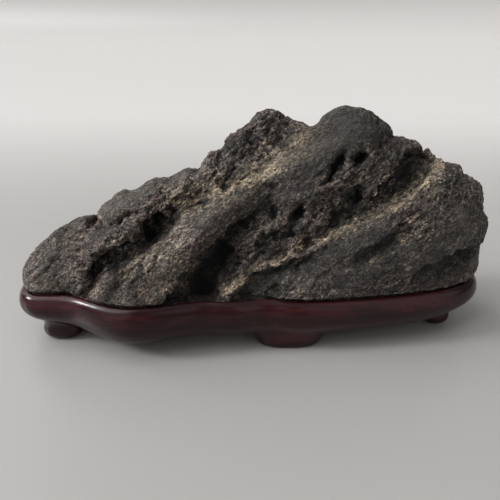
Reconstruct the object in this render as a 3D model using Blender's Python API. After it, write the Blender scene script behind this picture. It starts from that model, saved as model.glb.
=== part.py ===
"""A scholar's rock on its carved hardwood stand.

The rock is one stone whose slanting beds weather into ridges, gullies and pits. The stand is
one piece of wood: a shallow boat-shaped tray with a seat sunk in its top and feet left standing
under its hull. X runs along the length, Y from the display side to the back, Z up from the
table. Every length below is in millimetres, and the finished objects are in metres.
"""

import math

import bmesh
import bpy
import numpy as np
from mathutils import Vector, noise

MM = 0.001

# ---- Driving sizes
RIM_TOP = 26.0            # top of the stand's rim above the table
SEAT_FLOOR = 16.0         # floor of the sunk seat
SEAT_CLEARANCE = 1.0      # rock to seat wall, all round
REST_GAP = 0.3            # rock to seat floor
LEFT_TIP, RIGHT_TIP = -112.5, 111.5   # ends of the rock along X
BED_SLOPE = math.radians(40)          # slope of the rock's beds, rising towards +X
ROCK_TRIANGLES = 6100

# ---- The rock's outer form: smooth curves through (x, value) points
SKYLINE = [(-113, 43), (-108, 44.5), (-98, 50.5), (-88, 55), (-82, 56), (-77.5, 52),
           (-74, 61), (-70, 66.5), (-65, 69), (-58, 70.5), (-51, 73), (-43, 74.5), (-38, 77.5),
           (-33, 78), (-30, 76), (-22, 84), (-17.5, 84), (-14.5, 89), (-9, 95.5), (-4.5, 100),
           (-1, 103), (3.5, 103.5), (8, 102.5), (12, 98), (18, 98.5), (23, 97), (25, 99),
           (28, 103.5), (32, 105.5), (38, 107), (45, 105), (51, 100.5), (55, 99.5), (59, 95),
           (66, 93), (74, 88), (78.5, 85), (81, 82), (85, 79.5), (89.5, 79), (92.5, 80.5),
           (94.5, 76.5), (99, 74), (103, 70), (107, 63.5), (111, 58)]
CREST_Y = [(-113, -8), (-80, -6), (-50, 0), (-20, 6), (5, 9), (22, 4), (35, 0), (60, 0),
           (85, 4), (111, 6)]
FRONT_Y = [(-113, -19), (-105, -22.5), (-88, -23.5), (-76, -29.5), (-64, -35.5), (-54, -35.5),
           (-43, -33), (-30, -30.5), (-15, -29.5), (-4, -28.5), (4, -27.5), (16, -29),
           (32, -28.5), (51, -27.5), (70, -25.5), (86, -21), (98, -15.5), (107, -9), (111, -5)]
FRONT_Z = [(-113, 33), (-88, 35), (-60, 33), (-20, 30), (30, 33), (60, 40), (111, 44)]
BACK_Y = [(-113, 2), (-100, 13), (-84, 23), (-60, 26), (-35, 32), (-10, 33), (20, 31),
          (50, 35), (75, 32.5), (95, 26), (111, 16)]
BACK_Z = [(-113, 33), (-60, 34), (0, 36), (60, 40), (111, 44)]
BOTTOM_Z = [(-113, 25), (-94, 23.5), (-84, 20), (-76, 16.3), (94, 16.3), (101, 19), (111, 25)]
FRONT_POWER = [(-113, 2.1), (-60, 1.8), (0, 1.7), (40, 1.9), (80, 2.2), (111, 2.3)]
BACK_POWER, BOTTOM_POWER = 1.8, 3.6
END_RADII = (20.0, 19.0)     # how far from each tip the rock starts to round off
END_POWERS = (2.0, 2.9)
END_CENTRES_Z = (31.0, 42.0)
SKYLINE_BLUR = 14.0          # knobs on the skyline finer than this fade out down the flanks
KNOB_NARROWNESS = 9
CREST_CALM = 9.0             # gullies and pits fade out this near the skyline

# ---- Relief of the display side. Lines run along the beds in (x, z), lower end first.
# Each gully: its line, depth at the lower and upper end, width to the left and to the right.
FRONT_GULLIES = [
    ([(-82, 25), (-76, 39), (-70, 46.5), (-57, 53), (-46, 61), (-36, 67), (-27, 69)],
     7.0, 3.0, 3.5, 8.0),
    ([(-34, 26), (-28, 37.5), (-21, 46), (-12, 58), (-5, 64), (3, 67.5)], 11.0, 5.5, 5.5, 12.0),
    ([(-36, 65), (-26, 70), (-10, 78), (3, 87), (15, 92.5), (24, 98)], 3.0, 4.5, 8.0, 6.5),
    ([(0, 74.5), (10.5, 77.5), (21, 79), (29, 82.5)], 2.0, 2.0, 2.5, 3.0),
    ([(1, 66.5), (13, 68), (24, 69.5), (33, 74), (40, 77.5)], 1.5, 2.0, 2.5, 4.0),
    ([(-22, 26), (-12, 42), (-3, 50), (8, 55), (20, 60.5), (28, 65)], 4.5, 4.0, 9.0, 8.0),
    ([(47, 69), (54, 73), (60, 76.5), (66, 80), (73, 84), (82, 88)], 4.5, 9.0, 8.0, 3.5),
    ([(-16, 27), (-9, 37), (0, 42.5), (9, 45.5), (14, 49.5), (26, 51.5), (34, 59), (44, 63.5),
      (53, 67), (62, 74.5), (71, 80)], 4.0, 2.5, 5.0, 3.5),
    ([(-9, 25), (-2, 32.5), (5, 37), (13, 41.5), (22, 47)], 7.5, 2.0, 3.5, 5.0),
    ([(4, 25), (11, 34), (17, 40.5), (24, 46), (32, 52)], 3.5, 2.0, 2.6, 3.2),
    ([(40, 46), (48, 49), (54.5, 52.8), (62, 59)], 1.2, 2.4, 2.0, 3.0),
    ([(69, 28), (74, 35.5), (82.5, 39), (91, 43), (98, 46)], 2.5, 2.8, 2.2, 4.5),
    ([(-77, 59), (-67, 61), (-61, 61.8), (-55, 63.5)], 3.4, 1.5, 2.6, 2.6),
]
# Each lump: (x, z), half length along the beds, half width across them, height.
FRONT_LUMPS = [
    ((-92, 44), 17, 12, 2.5), ((-58, 40), 16, 9, 1.5), ((-38, 52), 24, 9, 3.5),
    ((-62, 67), 12, 6, 2.0), ((-33.5, 75.5), 5.5, 4, 2.4), ((-21, 82), 6, 4, 2.2),
    ((-11, 91), 7, 4.5, 2.4), ((3, 99), 8, 6, 2.0), ((17, 94), 5, 3.5, 1.6),
    ((39, 98), 19, 12, 3.6), ((14, 84), 18, 6, 2.2), ((20, 73), 20, 5, 1.8),
    ((66, 87), 9, 5, 2.2), ((48, 57), 17, 6.5, 2.0), ((80, 62), 26, 20, 3.0),
    ((40, 38), 24, 9, 1.6), ((3, 55), 5, 2.5, 1.5), ((18, 58), 5, 2.5, 1.5),
]
# Each pit: (x, z), half length along its own slope, half width, depth, slope in degrees.
FRONT_PITS = [
    ((-44.5, 59.5), 8.5, 5.0, 8.0, 45), ((32.5, 86), 6.0, 2.4, 4.0, 62),
    ((41, 87.5), 3.6, 3.0, 4.0, 40), ((39.5, 71.5), 5.5, 3.6, 6.0, 60),
    ((34, 65), 5.0, 3.8, 5.5, 20), ((15.8, 64), 4.6, 3.0, 3.6, 50), ((5, 64.5), 3.0, 2.4, 2.5, 60),
    ((1, 49.5), 4.2, 3.4, 3.0, 35), ((10, 56), 4.0, 3.0, 3.0, 30), ((-3.5, 61.5), 3.4, 2.6, 2.5, 55),
    ((-4.5, 94), 5.5, 2.5, 2.5, 50), ((-12, 86), 6.0, 2.4, 2.5, 50), ((-15, 78.5), 5.0, 2.2, 2.5, 40),
    ((-66, 47), 5.0, 2.6, 2.0, 40), ((27, 50), 3.5, 2.5, 2.2, 40),
]

# ---- Relief of the back, which carries the same beds
BACK_GULLIES = [
    ([(-96, 28), (-84, 42), (-70, 52), (-58, 62)], 4.0, 3.0, 4.0, 7.0),
    ([(-64, 26), (-50, 44), (-34, 56), (-18, 66), (-4, 80)], 7.0, 4.0, 5.0, 9.0),
    ([(-26, 26), (-12, 44), (6, 58), (20, 74), (24, 95)], 5.0, 6.0, 7.0, 6.0),
    ([(12, 26), (24, 42), (42, 54), (56, 70), (66, 88)], 8.0, 4.0, 6.0, 10.0),
    ([(52, 27), (62, 42), (74, 54), (80, 68), (81, 84)], 4.0, 5.0, 5.0, 5.0),
    ([(-92, 50), (-80, 54), (-70, 64)], 2.5, 2.5, 3.0, 3.0),
]
BACK_LUMPS = [
    ((-92, 42), 14, 10, 2.5), ((-58, 38), 16, 9, 2.5), ((-24, 46), 22, 10, 3.5),
    ((6, 82), 16, 9, 3.0), ((42, 88), 16, 12, 3.0), ((36, 38), 20, 9, 2.5),
    ((84, 56), 18, 16, 3.0), ((-40, 66), 12, 6, 2.0),
]
BACK_PITS = [
    ((-34, 57), 7.0, 4.0, 5.0, 50), ((24, 62), 6.0, 4.5, 5.0, 40), ((44, 64), 5.0, 3.5, 4.0, 60),
    ((-70, 46), 5.0, 3.0, 3.0, 45), ((0, 50), 6.0, 3.5, 3.5, 35), ((72, 46), 5.0, 3.0, 3.0, 40),
    ((34, 80), 5.0, 3.0, 3.0, 55), ((-8, 72), 4.0, 3.0, 2.5, 50),
]

# ---- The stand: inner edge of its rim in (x, y), from the left tip along the display side
SEAT_EDGE = [(-109.5, -14), (-104, -22.8), (-89, -23.2), (-76, -30), (-60, -36.4), (-46, -34.3),
             (-24, -29.6), (-8, -28.8), (4, -26.9), (17, -28.7), (48, -25.7), (72, -21.4),
             (90, -15.8), (102, -8.8), (107, 0), (103, 15), (88, 27), (60, 35), (36, 33),
             (14, 30), (-14, 33), (-38, 32), (-62, 26), (-84, 23.5), (-101, 12.5), (-109, -2)]
EDGE_POINTS = 76
# Section of the tray: how far each ring stands out from the inner edge, and its height as a
# share of the way from the hull's bottom to the top of the rim.
TRAY_SECTION = [(0.0, 0.97), (0.5, 0.997), (1.4, 0.985), (3.0, 0.90), (4.5, 0.74), (5.3, 0.55),
                (4.9, 0.36), (3.4, 0.18), (0.6, 0.05), (-3.6, 0.0)]
# Height of the hull's bottom along X, and how much the tray's section is drawn in there.
HULL_BOTTOM = [(-112, 12), (-98, 10), (-84, 8), (-60, 7.2), (60, 7.6), (80, 8.4), (92, 10),
               (102, 11.5), (112, 12.5)]
HULL_FULLNESS = [(-112, 1.0), (60, 1.0), (92, 0.9), (112, 0.7)]
KEEL = [(-92, -6), (88, 5)]   # the line that the tray's sections face

# Section of a foot: how far each ring stands out from its outline, and its height.
NUB = [(-3.4, 0.0), (-1.6, 0.6), (-0.5, 1.9), (0.0, 3.6), (0.1, 5.6), (1.0, 8.2), (3.4, 12.0)]
FLARED = [(-1.3, 0.0), (-0.5, 0.4), (0.0, 1.3), (0.5, 3.0), (1.3, 5.0), (2.8, 6.9), (4.5, 10.5)]
# Each foot: section, centre (x, y), half length, half width, turn in degrees.
FEET = {
    "left": (NUB, (-96.0, -15.0), 9.4, 9.0, 0),
    "front": (FLARED, (14.0, -22.0), 15.5, 8.8, 1),
    "right": (NUB, (89.5, -3.5), 7.0, 8.0, 20),
    "back_right": (FLARED, (50.0, 25.0), 13.0, 8.0, 0),
    "back_left": (NUB, (-66.0, 15.0), 10.0, 8.0, 10),
}
FOOT_POINTS = 28
FOOT_POWER = 2.5
SHORTEST_EDGE = 0.08      # the Boolean's crumbs below this length are merged away

# From the outlines' own centre to the middle of the finished object's footprint, in (x, y)
CENTRE = (-1.9, -0.63)


def curve_through(points, x):
    """Smooth value at x of the curve through sorted (x, value) points, with no overshoot."""
    px, py = np.array(points, float).T
    slope = np.diff(py) / np.diff(px)
    before, after = slope[:-1], slope[1:]
    same_way = before * after > 0
    total = np.where(same_way, before + after, 1.0)
    tangent = np.concatenate([slope[:1], np.where(same_way, 2 * before * after / total, 0), slope[-1:]])
    x = np.clip(x, px[0], px[-1])
    i = np.clip(np.searchsorted(px, x) - 1, 0, len(px) - 2)
    h = px[i + 1] - px[i]
    t = (x - px[i]) / h
    return ((2 * t**3 - 3 * t**2 + 1) * py[i] + (t**3 - 2 * t**2 + t) * h * tangent[i]
            + (3 * t**2 - 2 * t**3) * py[i + 1] + (t**3 - t**2) * h * tangent[i + 1])


def rise(x, low, high):
    """0 below low, 1 above high, and smooth between."""
    t = np.clip((x - low) / (high - low), 0, 1)
    return t * t * (3 - 2 * t)


def envelope(columns, around):
    """The rock's plain outer form: one closed ring of `around` points for each column."""
    s = np.linspace(0, 1, columns)
    s = 0.5 * s + 0.5 * (1 - np.cos(math.pi * s)) / 2
    x = LEFT_TIP + (RIGHT_TIP - LEFT_TIP) * (0.0005 + 0.999 * s)
    X, angle = np.meshgrid(x, np.linspace(0, 2 * math.pi, around, endpoint=False), indexing="ij")
    forward, upward = np.cos(angle), np.sin(angle)
    crest, front, back = (curve_through(points, X) for points in (CREST_Y, FRONT_Y, BACK_Y))
    side_z = np.where(forward > 0, curve_through(FRONT_Z, X), curve_through(BACK_Z, X))
    power = np.where(forward > 0, curve_through(FRONT_POWER, X), BACK_POWER)
    power = np.where(upward > 0, power, BOTTOM_POWER)
    top, bottom = curve_through(SKYLINE, X), curve_through(BOTTOM_Z, X)
    offsets = np.linspace(-SKYLINE_BLUR, SKYLINE_BLUR, 9)
    broad_top = np.mean([curve_through(SKYLINE, X + d) for d in offsets], axis=0)
    middle = np.where(upward > 0, crest, (front + back) / 2)
    side_y = np.where(forward > 0, front, back)
    Y = middle + (side_y - middle) * np.abs(forward) ** (2 / power)
    up_share = np.abs(upward) ** (2 / power)
    Z = side_z + (np.where(upward > 0, broad_top, bottom) - side_z) * up_share
    Z += np.where(upward > 0, top - broad_top, 0) * np.abs(upward) ** KNOB_NARROWNESS
    left = np.clip((LEFT_TIP + END_RADII[0] - X) / END_RADII[0], 0, 1)
    right = np.clip((X - RIGHT_TIP + END_RADII[1]) / END_RADII[1], 0, 1)
    left_power, right_power = END_POWERS
    shrink = (1 - left**left_power) ** (1 / left_power) * (1 - right**right_power) ** (1 / right_power)
    middle_y = (front + back) / 2
    middle_z = np.where(X < 0, *END_CENTRES_Z)
    return np.stack([X, middle_y + (Y - middle_y) * shrink, middle_z + (Z - middle_z) * shrink], -1)


def grid_normals(grid):
    """Outward unit normals of the rings' points."""
    along = np.gradient(grid, axis=0)
    around = np.roll(grid, -1, axis=1) - np.roll(grid, 1, axis=1)
    normal = np.cross(around, along)
    normal /= np.linalg.norm(normal, axis=-1, keepdims=True) + 1e-9
    outward = grid - grid.mean(axis=1, keepdims=True)
    return normal * np.sign((normal * outward).sum(-1, keepdims=True) + 1e-9)


def line_distance(x, z, line):
    """Distance from each (x, z) to a polyline, share of the way along it, and side: 1 is right."""
    best = np.full(x.shape, 1e9)
    share, side = np.zeros(x.shape), np.ones(x.shape)
    lengths = [math.dist(a, b) for a, b in zip(line, line[1:])]
    before = 0.0
    for (ax, az), (bx, bz), length in zip(line, line[1:], lengths):
        ux, uz = (bx - ax) / length, (bz - az) / length
        along = np.clip((x - ax) * ux + (z - az) * uz, 0, length)
        dx, dz = x - ax - along * ux, z - az - along * uz
        distance = np.hypot(dx, dz)
        nearer = distance < best
        best = np.where(nearer, distance, best)
        share = np.where(nearer, (before + along) / sum(lengths), share)
        side = np.where(nearer, np.where(dx * uz - dz * ux > 0, 1.0, -1.0), side)
        before += length
    return best, share, side


def gully_depth(x, z, gully):
    line, low_depth, high_depth, left_width, right_width = gully
    distance, share, side = line_distance(x, z, line)
    width = np.where(side > 0, right_width, left_width)
    depth = low_depth + (high_depth - low_depth) * share
    return depth * np.exp(-(distance / width) ** 2)


def bump(x, z, centre, half_length, half_width, slope):
    """1 at the centre, falling to 0 at the rim of a slanting ellipse."""
    dx, dz = x - centre[0], z - centre[1]
    along = dx * math.cos(slope) + dz * math.sin(slope)
    across = dz * math.cos(slope) - dx * math.sin(slope)
    r2 = (along / half_length) ** 2 + (across / half_width) ** 2
    return np.clip(1 - r2 / 2.2, 0, 1) ** 2


def relief(x, z, gullies, lumps, pits):
    """Height of one side's ridges and hollows above the plain form."""
    height = np.zeros(x.shape)
    for centre, half_length, half_width, lift in lumps:
        height += lift * bump(x, z, centre, half_length, half_width, BED_SLOPE)
    for gully in gullies:
        height -= gully_depth(x, z, gully)
    for centre, half_length, half_width, depth, degrees in pits:
        height -= depth * bump(x, z, centre, half_length, half_width, math.radians(degrees))
    return height


def bedding_noise(points):
    """Uneven beds: noise drawn out along the slope of the beds."""
    c, s = math.cos(BED_SLOPE), math.sin(BED_SLOPE)
    height = np.zeros(len(points))
    for i, (x, y, z) in enumerate(points):
        along, across = x * c + z * s, z * c - x * s
        broad = noise.noise(Vector((along / 26, y / 20, across / 9)))
        fine = noise.noise(Vector((along / 10 + 7, y / 9, across / 4.5)))
        knobbly = noise.noise(Vector((x / 15 + 3, y / 11, z / 15)))
        end = float(rise(x, RIGHT_TIP - 22, RIGHT_TIP - 4))
        height[i] = (1.6 + 2.0 * end) * broad + 1.0 * fine + 1.5 * knobbly
    return height


def tucked_in(points, edge):
    """Keeps what lies below the rim inside the seat, so that rock and wood never meet."""
    edge = np.array(edge)
    flat, z = points[:, :2], points[:, 2]
    low = np.where(z < RIM_TOP + 4)[0]
    a, b = edge, np.roll(edge, -1, axis=0)
    step = b - a
    step_length = np.linalg.norm(step, axis=1)
    inward = np.stack([-step[:, 1], step[:, 0]], 1) / step_length[:, None]
    for i in low:
        p = flat[i]
        t = np.clip(((p - a) * step).sum(1) / step_length**2, 0, 1)
        nearest = a + step * t[:, None]
        k = np.argmin(np.linalg.norm(p - nearest, axis=1))
        depth = float((p - nearest[k]) @ inward[k])
        wanted = SEAT_CLEARANCE - 6 * float(rise(z[i], RIM_TOP + 0.5, RIM_TOP + 4))
        if depth < wanted:
            points[i, :2] = p + inward[k] * (wanted - depth)
    points[:, 2] = np.maximum(z, SEAT_FLOOR + REST_GAP)
    return points


def closed_curve(points, count):
    """Evenly spaced points of the smooth closed curve through the given ones."""
    p = np.array(points, float)
    fine = []
    for i in range(len(p)):
        p0, p1, p2, p3 = (p[(i + k) % len(p)] for k in (-1, 0, 1, 2))
        for t in np.linspace(0, 1, 24, endpoint=False):
            fine.append(0.5 * (2 * p1 + (p2 - p0) * t + (2 * p0 - 5 * p1 + 4 * p2 - p3) * t**2
                               + (3 * p1 - p0 - 3 * p2 + p3) * t**3))
    fine = np.array(fine + [fine[0]])
    run = np.concatenate([[0], np.cumsum(np.linalg.norm(np.diff(fine, axis=0), axis=1))])
    at = np.linspace(0, run[-1], count, endpoint=False)
    return np.stack([np.interp(at, run, fine[:, k]) for k in (0, 1)], 1)


def skinned(name, rings, material):
    """One closed solid through the rings, with a flat cap on the first and the last."""
    bm = bmesh.new()
    centre = Vector((*CENTRE, 0))
    rows = [[bm.verts.new((Vector(p) - centre) * MM) for p in ring] for ring in rings]
    for a, b in zip(rows, rows[1:]):
        for j in range(len(a)):
            k = (j + 1) % len(a)
            bm.faces.new((a[j], a[k], b[k], b[j]))
    caps = [bm.faces.new(rows[0][::-1]), bm.faces.new(rows[-1])]
    bmesh.ops.triangulate(bm, faces=caps)
    bmesh.ops.recalc_face_normals(bm, faces=bm.faces)
    mesh = bpy.data.meshes.new(name)
    bm.to_mesh(mesh)
    bm.free()
    obj = bpy.data.objects.new(name, mesh)
    mesh.materials.append(material)
    bpy.context.scene.collection.objects.link(obj)
    return obj


def plain_material(name, colour, roughness):
    material = bpy.data.materials.new(name)
    material.use_nodes = True
    shader = material.node_tree.nodes["Principled BSDF"]
    shader.inputs["Base Color"].default_value = (*colour, 1)
    shader.inputs["Roughness"].default_value = roughness
    return material


def make_rock(edge):
    grid = envelope(230, 150)
    normal = grid_normals(grid)
    x, y, z = grid[..., 0], grid[..., 1], grid[..., 2]
    crest = curve_through(CREST_Y, x)
    backness = rise(y - crest, -5, 5)
    height = (relief(x, z, FRONT_GULLIES, FRONT_LUMPS, FRONT_PITS) * (1 - backness)
              + relief(x, z, BACK_GULLIES, BACK_LUMPS, BACK_PITS) * backness)
    below_skyline = z.max(axis=1, keepdims=True) - z
    height *= 0.15 + 0.85 * rise(below_skyline, 0, CREST_CALM)
    height += bedding_noise(grid.reshape(-1, 3)).reshape(height.shape)
    height *= rise(z, SEAT_FLOOR, SEAT_FLOOR + 8)
    points = grid + normal * height[..., None]
    points = tucked_in(points.reshape(-1, 3), edge).reshape(grid.shape)
    rock = skinned("rock", points, plain_material("stone", (0.045, 0.04, 0.036), 0.8))
    decimate = rock.modifiers.new("fewer_faces", "DECIMATE")
    triangles = sum(len(f.vertices) - 2 for f in rock.data.polygons)
    decimate.ratio = ROCK_TRIANGLES / triangles
    decimate.use_collapse_triangulate = True
    return rock


def make_stand(edge):
    wood = plain_material("rosewood", (0.05, 0.014, 0.012), 0.35)
    keel_x = [p[0] for p in KEEL]
    toward = np.stack([np.clip(edge[:, 0], *keel_x), curve_through(KEEL, edge[:, 0])], 1) - edge
    toward /= np.linalg.norm(toward, axis=1, keepdims=True)
    bottom = curve_through(HULL_BOTTOM, edge[:, 0])
    fullness = curve_through(HULL_FULLNESS, edge[:, 0])
    rings = [np.column_stack([edge, np.full(len(edge), SEAT_FLOOR)])]
    for out, share in TRAY_SECTION:
        outward = out * np.where(out > 0, fullness, 1 / fullness)
        ring_z = bottom + (RIM_TOP - bottom) * share
        rings.append(np.column_stack([edge - toward * outward[:, None], ring_z]))
    stand = skinned("stand", rings, wood)
    for name, foot in FEET.items():
        union = stand.modifiers.new(f"foot_{name}", "BOOLEAN")
        union.operation = "UNION"
        union.object = make_foot(f"foot_{name}", *foot, wood)
    weld = stand.modifiers.new("crumbs", "WELD")
    weld.merge_threshold = SHORTEST_EDGE * MM
    return stand


def make_foot(name, section, centre, half_length, half_width, degrees, wood):
    """One foot as a loose solid, which the stand's Boolean then joins to the hull."""
    turn = math.radians(degrees)
    rings = []
    for out, z in section:
        ring = []
        for k in range(FOOT_POINTS):
            angle = 2 * math.pi * k / FOOT_POINTS
            c, s = math.cos(angle), math.sin(angle)
            u = (half_length + out) * math.copysign(abs(c) ** (2 / FOOT_POWER), c)
            v = (half_width + out) * math.copysign(abs(s) ** (2 / FOOT_POWER), s)
            ring.append((centre[0] + u * math.cos(turn) - v * math.sin(turn),
                         centre[1] + u * math.sin(turn) + v * math.cos(turn), z))
        rings.append(ring)
    foot = skinned(name, rings, wood)
    foot.hide_render = True
    foot.display_type = "WIRE"
    return foot


def main():
    for obj in list(bpy.data.objects):
        bpy.data.objects.remove(obj)
    edge = closed_curve(SEAT_EDGE, EDGE_POINTS)
    make_rock(edge)
    make_stand(edge)


main()
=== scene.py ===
import math

import bpy
import numpy as np
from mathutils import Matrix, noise


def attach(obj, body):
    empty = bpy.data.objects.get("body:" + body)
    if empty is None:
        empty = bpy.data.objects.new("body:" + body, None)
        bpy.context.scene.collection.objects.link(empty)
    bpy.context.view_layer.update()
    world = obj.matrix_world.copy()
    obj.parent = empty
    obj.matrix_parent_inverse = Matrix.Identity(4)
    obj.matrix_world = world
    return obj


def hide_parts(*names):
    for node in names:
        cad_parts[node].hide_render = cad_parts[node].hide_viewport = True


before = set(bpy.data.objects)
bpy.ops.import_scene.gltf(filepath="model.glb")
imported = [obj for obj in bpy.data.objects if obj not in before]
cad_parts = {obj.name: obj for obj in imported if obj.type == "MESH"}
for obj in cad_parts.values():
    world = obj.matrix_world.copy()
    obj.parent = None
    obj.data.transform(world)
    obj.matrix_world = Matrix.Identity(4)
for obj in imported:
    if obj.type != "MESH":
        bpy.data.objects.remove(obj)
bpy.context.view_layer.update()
mm = 0.001

# Features of the display side are placed as they look from in front and 25 degrees above:
# x runs along the length and w runs up that view, both in millimetres.
viewTilt = math.radians(25.4)


def deselectAll():
    if bpy.context.object and bpy.context.object.mode != "OBJECT":
        bpy.ops.object.mode_set(mode="OBJECT")
    bpy.ops.object.select_all(action="DESELECT")


def activate(piece):
    deselectAll()
    piece.select_set(True)
    bpy.context.view_layer.objects.active = piece


def addModifier(piece, kind, **settings):   # adds one and applies it
    activate(piece)
    modifier = piece.modifiers.new(kind.lower(), kind)
    for name, value in settings.items():
        setattr(modifier, name, value)
    bpy.ops.object.modifier_apply(modifier=modifier.name)


def readPoints(mesh):   # in mm
    values = np.empty(len(mesh.vertices) * 3)
    mesh.vertices.foreach_get("co", values)
    return values.reshape(-1, 3) / mm


def readNormals(mesh):
    values = np.empty(len(mesh.vertices) * 3)
    mesh.vertex_normals.foreach_get("vector", values)
    return values.reshape(-1, 3)


def writePoints(mesh, points):   # in mm
    mesh.vertices.foreach_set("co", np.ascontiguousarray(points * mm).ravel())
    mesh.update()


def keepAttribute(mesh, name, values):
    attribute = mesh.attributes.new(name, "FLOAT", "POINT")
    attribute.data.foreach_set("value", np.clip(values, 0, 1).astype(np.float32))


def rise(x, low, high):   # 0 at low, 1 at high, smooth between and flat beyond
    t = np.clip((x - low) / (high - low), 0, 1)
    return t * t * (3 - 2 * t)


def spread(mesh, values, rounds):   # mixes each vertex's value with its neighbours', round by round
    edges = np.empty(len(mesh.edges) * 2, dtype=np.int32)
    mesh.edges.foreach_get("vertices", edges)
    a, b = edges.reshape(-1, 2).T
    count = np.bincount(a, minlength=len(values)) + np.bincount(b, minlength=len(values))
    for _ in range(rounds):
        total = np.bincount(a, values[b], len(values)) + np.bincount(b, values[a], len(values))
        values = 0.5 * values + 0.5 * total / np.maximum(count, 1)
    return values


def smoothed(mesh, points, rounds):
    return np.stack([spread(mesh, points[:, k].copy(), rounds) for k in range(3)], 1)


def noiseAt(places, sizes, shift=0):   # lumps of the given sizes in mm, from about -1 to 1
    sx, sy, sz = sizes
    return np.array([noise.noise((x / sx + shift, y / sy, z / sz)) for x, y, z in places])


def colour(hexText):   # sRGB hex to linear
    channels = [int(hexText[i:i + 2], 16) / 255 for i in (1, 3, 5)]
    return [c / 12.92 if c <= 0.04045 else ((c + 0.055) / 1.055) ** 2.4 for c in channels] + [1]


def addNode(tree, kind, settings={}, links={}):
    node = tree.nodes.new("ShaderNode" + kind)
    for name, value in settings.items():
        if isinstance(name, int) or name in node.inputs:
            node.inputs[name].default_value = value
        elif name == "stops":
            elements = node.color_ramp.elements
            for i, (position, tone) in enumerate(value):
                stop = elements[i] if i < 2 else elements.new(position)
                stop.position = position
                stop.color = colour(tone)
        else:
            setattr(node, name, value)
    for name, source in links.items():   # from a socket, or from a node's first one in use
        if isinstance(source, bpy.types.Node):
            source = next(socket for socket in source.outputs if socket.enabled)
        tree.links.new(source, node.inputs[name])
    return node


def newMaterial(name):
    material = bpy.data.materials.new(name)
    material.use_nodes = True
    return material, material.node_tree, material.node_tree.nodes["Principled BSDF"]


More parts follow.
